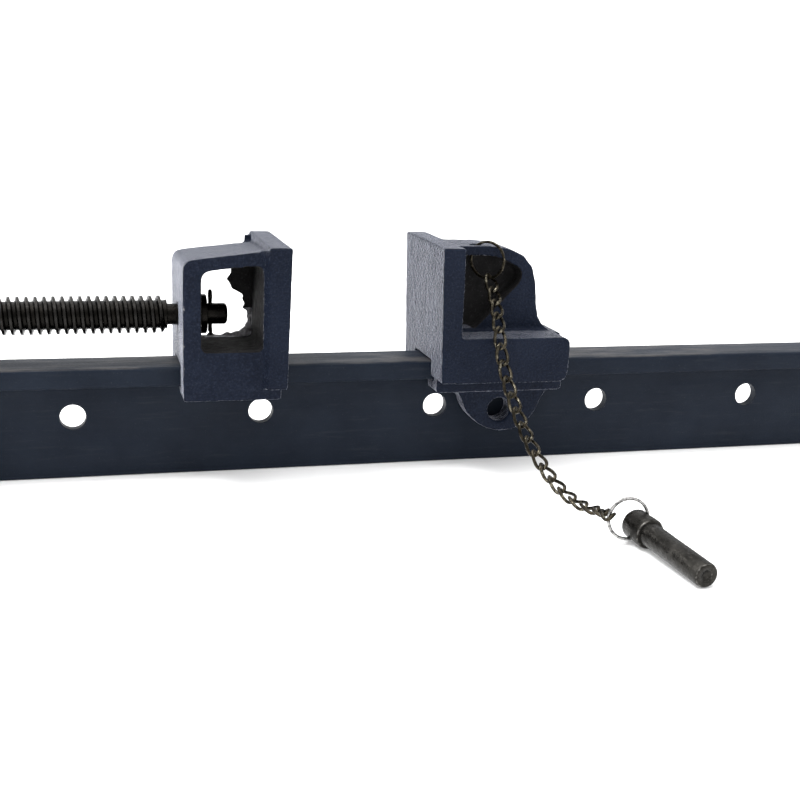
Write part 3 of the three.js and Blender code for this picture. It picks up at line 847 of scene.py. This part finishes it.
# ---------------------------------------------------------------- the bar
def rounded(corners, steps=7):
    """A closed outline from (u, v, r) corners, each rounded off over the distance r along both its edges."""
    points = []
    count = len(corners)
    for i, (u, v, r) in enumerate(corners):
        here = Vector((u, v))
        if not r:
            points.append(here)
            continue
        before = here + (Vector(corners[i - 1][:2]) - here).normalized() * r
        after = here + (Vector(corners[(i + 1) % count][:2]) - here).normalized() * r
        for s in range(steps + 1):
            t = s / steps
            points.append(before * (1 - t) ** 2 + here * (2 * t * (1 - t)) + after * t * t)
    return points


def make_bar():
    """The rolled T-section, its faces very slightly uneven, with its drilled holes lightly countersunk."""
    start, end, height, wing, deep, foot = BAR_SHAPE.values()
    under, middle = height - deep, height / 2
    uneven, step = 0.10, 11.0
    chamfer, wing_chamfer, lip, wing_from = 0.35, 0.56, 0.5, 5.0
    section = rounded([(-foot, 0, 0.8), (foot, 0, 0.8), (foot, under, 1.6), (wing, under + 0.4, 1.4),
                       (wing, height, 1.9), (-wing, height, 1.9), (-wing, under + 0.4, 1.4),
                       (-foot, under, 1.6)])
    count = len(section)
    inner = [start + step * i for i in range(1, int((end - start) / step))]
    stations = [start, start + lip, *inner, end - lip, end]
    verts, faces = [], []
    for x in stations:
        for u, v in section:
            if x in (start, end):
                scale = 1 - chamfer / middle
                across = u * (1 - wing_chamfer / wing) if abs(u) > wing_from else u
            else:
                wave = uneven * noise.noise(Vector((x * 0.02, u * 0.05, v * 0.05)))
                scale = 1 - (wave + uneven) / middle
                across = u * scale
            verts.append(at(x, across, max(0.0, middle + (v - middle) * scale)))
    for i in range(len(stations) - 1):
        for j in range(count):
            k = (j + 1) % count
            faces.append((i * count + j, i * count + k, (i + 1) * count + k, (i + 1) * count + j))
    faces.append(tuple(range(count)))
    faces.append(tuple((len(stations) - 1) * count + j for j in range(count)))
    places = [HOLES["first"] + HOLES["pitch"] * i for i in range(HOLES["count"])]
    holes = [(x, HOLES["z"], HOLES["radius"]) for x in places]
    holes += [(x, RIVETS["z"], RIVETS["hole"]) for x in RIVETS["at"]]
    holes.append((STOP["x"], STOP["z"], STOP["hole"]))
    cutters = [drill(r, 9, Matrix.Translation(at(x, 0, z)) @ TO_Y, 0.35, foot) for x, z, r in holes]
    mesh = boolean_cut(mesh_from("bar", verts, faces), cutters)
    mesh.name = "bar"
    smooth_by_angle(mesh, 30)
    return add_object("bar", mesh, "bar", BAR, ["t_bar"])


# ---------------------------------------------------------------- rings and the locking pin
def split_ring(name, centre, axis, body, material, node, start):
    """Two turns of flat wire side by side, crossing over once, as a key ring is coiled. Start is the angle of
    the wire's first end."""
    radius, thick, wide = RING_RADIUS * MM, RING_WIRE[0] * MM, RING_WIRE[1] * MM
    axis = axis.normalized()
    u = axis.orthogonal().normalized()
    v = axis.cross(u)
    steps, turns, sides = 180, 1.94, 14
    verts, faces = [], []
    for i in range(steps + 1):
        share = i / steps
        angle = start + 2 * math.pi * turns * share
        out = u * math.cos(angle) + v * math.sin(angle)
        side = wide * 1.08 * math.tanh((share - 0.5) * 13.0)
        for j in range(sides):
            c, t = math.cos(2 * math.pi * j / sides), math.sin(2 * math.pi * j / sides)
            outwards = math.copysign(abs(c) ** 0.6, c) * thick
            sideways = math.copysign(abs(t) ** 0.6, t) * wide
            verts.append(centre + out * (radius + outwards) + axis * (side + sideways))
    for i in range(steps):
        for j in range(sides):
            k = (j + 1) % sides
            faces.append((i * sides + j, i * sides + k, (i + 1) * sides + k, (i + 1) * sides + j))
    faces.append(tuple(range(sides)))
    faces.append(tuple(steps * sides + j for j in range(sides)))
    mesh = mesh_from(name, verts, faces)
    smooth_by_angle(mesh, 50)
    return add_object(name, mesh, body, material, [node])


def pin_frame():
    """The pin's own axes: +X along it towards its tip, +Y level, +Z up, from the middle of its head's end."""
    tilt = math.asin((PIN["head"] - PIN["shank"]) / (PIN["long"] - PIN["head_long"]))
    heading = math.radians(PIN["yaw"] - 90)
    along = Vector((math.cos(heading) * math.cos(tilt), math.sin(heading) * math.cos(tilt), -math.sin(tilt)))
    level = Vector((-math.sin(heading), math.cos(heading), 0.0))
    lift = PIN["head"] * math.cos(tilt) + PIN["head_long"] * math.sin(tilt) + 0.05
    centre = at(PIN["x"], PIN["y"], lift)
    return Matrix.Translation(centre) @ Matrix((along, level, along.cross(level))).transposed().to_4x4()


def make_pin():
    """The stepped pin, cross-drilled for its ring and rubbed bright on the edges of its step and its tip."""
    frame_of_pin = pin_frame()
    head, step, shank, long = PIN["head"], PIN["head_long"], PIN["shank"], PIN["long"]
    profile = [(1.3, 0), (1.2, 1.2), (0.8, 2.2), (0.3, 3.0), (0.05, 3.8), (0.0, 5.4), (0.12, 6.1),
               (0.5, head - 0.25), (1.0, head - 0.06), (2.0, head), (step - 1.2, head),
               (step - 0.6, head - 0.14), (step - 0.15, head - 0.5), (step, head - 1.0),
               (step + 0.1, shank + 0.1), (step + 0.6, shank), (30, shank - 0.03), (long - 1.1, shank),
               (long - 0.5, shank - 0.2), (long - 0.1, shank - 0.6), (long, shank - 1.0),
               (long, 3.0), (long - 0.3, 2.5), (long - 1.2, 1.3), (long - 1.5, 0)]
    turn = Matrix.Rotation(-math.radians(PIN["roll"]), 4, "X")
    hole = Matrix.Translation(Vector((PIN["eye"] * MM, 0, 0))) @ turn @ TO_Z
    cutter = drill(PIN["hole"], 9, frame_of_pin @ hole, 0.3, head - 0.2, 32)
    pin = turned("drop_pin", profile, frame_of_pin, "pin", GREY, ["locking_pin"],
                 cutters=[cutter], degrees=32)
    back = frame_of_pin.inverted()
    worn = []
    for vertex in pin.data.vertices:
        own = back @ vertex.co / MM
        out = math.hypot(own.y, own.z)
        on_step = step - 0.9 < own.x < step + 0.05 and out > head - 0.7
        on_tip = long - 0.7 < own.x < long - 0.05
        worn.append(0.7 * (on_step or on_tip))
    mark(pin.data, worn)
    return pin


def make_rings():
    turn = math.radians(SLIDE_RING["turn"])
    axis = Vector((math.sin(turn), math.cos(turn), 0))
    split_ring("ring_on_chain_top", at(*SLIDE_RING["at"]), axis, "ring_on_slide", BRONZE,
               "slide_ring", 0.6)
    joint = next(j for j in frame["joints"] if j["name"] == "pin_ring_turn")
    centre, axis = Vector(joint["pos_m"]), Vector(joint["axis"])
    split_ring("ring_on_pin_head", centre, axis, "ring_on_pin", BRIGHT, "pin_ring", 2.2)


# ---------------------------------------------------------------- building it
# The jaw's window gets the near-black hollow finish: its unpainted casting, with painted shade over it.
JAW_HOLLOWS = [((57.5, -29.3, 60), (89.6, 29.3, 104.6)), ((72, -29.3, 60), (89.6, 29.3, 106.8))]
# Bare metal marked low on the window's flash and in specks over the jaw's left face: partly real bare metal
# and flaked paint, partly painted light for the lit flash and the glints on that face.
JAW_WEAR_AND_PAINTED_LIGHT = [((65, 6.5, 65.8), (90, 12.5, 80), 1.8), ((49, -34, 44), (51.6, 34, 110), 0.95)]
JAW_FLASH = [((67.4, 9.6, 66.4), 1.9), ((71.0, 9.4, 65.6), 1.5), ((75.6, 9.8, 66.4), 1.8),
             ((80.0, 9.5, 66.6), 2.1), ((84.0, 9.8, 67.6), 2.7), ((86.6, 9.6, 71.0), 2.6),
             ((87.0, 9.4, 75.2), 2.0)]
# Painted shade: the slide's pocket gets the near-black hollow finish because it lies in shadow.
SLIDE_POCKET_SHADE = [((184, -13.4, 73), (219.5, 13.4, 108.4))]
SLIDE_LUG = [((180, -22, 15), (246, 22, 50))]

chain, chain_length, chain_path = make_chain()
make_rings()
make_pin()
sand_cast("screw_jaw", "jaw_casting", "jaw", 0.6, hollows=JAW_HOLLOWS, worn=JAW_WEAR_AND_PAINTED_LIGHT, lumps=JAW_FLASH)
sand_cast("tail_slide", "slide_casting", "slide", 0.6, hollows=SLIDE_POCKET_SHADE, blends=SLIDE_LUG)
sand_cast("head_casting", "head_body", "bar", 1.0)
make_bar()
make_screw()
make_washer()
make_split_pin()
make_tommy()
make_rivets()


# ---------------------------------------------------------------- stage and light
FLOOR_HALF = 30.0
FLOOR_GAP = 0.0002
FLOOR_GLOW = 0.14
WORLD_STRENGTH = 1.15
# each light's place, the point it is aimed at, its width and height in metres, and its power in watts
LIGHTS = {
    "overhead": ((-0.3, 0.2, 1.7), (0.0, 0.0, 0.0), (1.8, 1.6), 22.0),
    "from_left": ((-2.2, 1.3, 1.0), (-0.1, 0.0, 0.05), (1.5, 1.5), 45.0),
    "front_fill": ((0.1, -0.9, 1.9), (0.0, -0.25, 0.0), (2.0, 1.0), 16.0),
    "sparkle": ((-0.9, 0.0, 1.5), (0.0, 0.0, 0.05), (0.45, 0.45), 16.0),
}


def make_stage():
    look = Look("floor")
    mottle = look.noise(3.0, 2.0, 0.5)
    color = look.ramp(mottle, (0.3, (0.88, 0.88, 0.88)), (0.7, (0.91, 0.91, 0.91)))
    material = look.finish(color, 0.85, [(look.noise(400.0, 2.0, 0.5), 0.00003)], metallic=0.0, specular=0.1)
    look.shader.inputs["Emission Color"].default_value = (1.0, 1.0, 1.0, 1.0)
    look.shader.inputs["Emission Strength"].default_value = FLOOR_GLOW
    corners = [(x * FLOOR_HALF, y * FLOOR_HALF, 0) for x, y in ((-1, -1), (1, -1), (1, 1), (-1, 1))]
    mesh = mesh_from("floor", corners, [(0, 1, 2, 3)])
    floor = bpy.data.objects.new("floor", mesh)
    floor.location.z = -FLOOR_GAP
    mesh.materials.append(material)
    bpy.context.scene.collection.objects.link(floor)


def area_light(name, where, target, size, power):
    data = bpy.data.lights.new(name, "AREA")
    data.shape = "RECTANGLE"
    data.size, data.size_y = size
    data.energy = power
    light = bpy.data.objects.new(name, data)
    light.location = where
    light.rotation_euler = (Vector(target) - Vector(where)).to_track_quat("-Z", "Y").to_euler()
    bpy.context.scene.collection.objects.link(light)


def make_light():
    world = bpy.data.worlds.new("studio")
    world.use_nodes = True
    background = world.node_tree.nodes["Background"]
    background.inputs["Color"].default_value = (1.0, 1.0, 1.0, 1.0)
    background.inputs["Strength"].default_value = WORLD_STRENGTH
    bpy.context.scene.world = world
    for name, (where, target, size, power) in LIGHTS.items():
        area_light(name, where, target, size, power)
    bpy.context.scene.view_settings.view_transform = "Standard"


make_stage()
make_light()
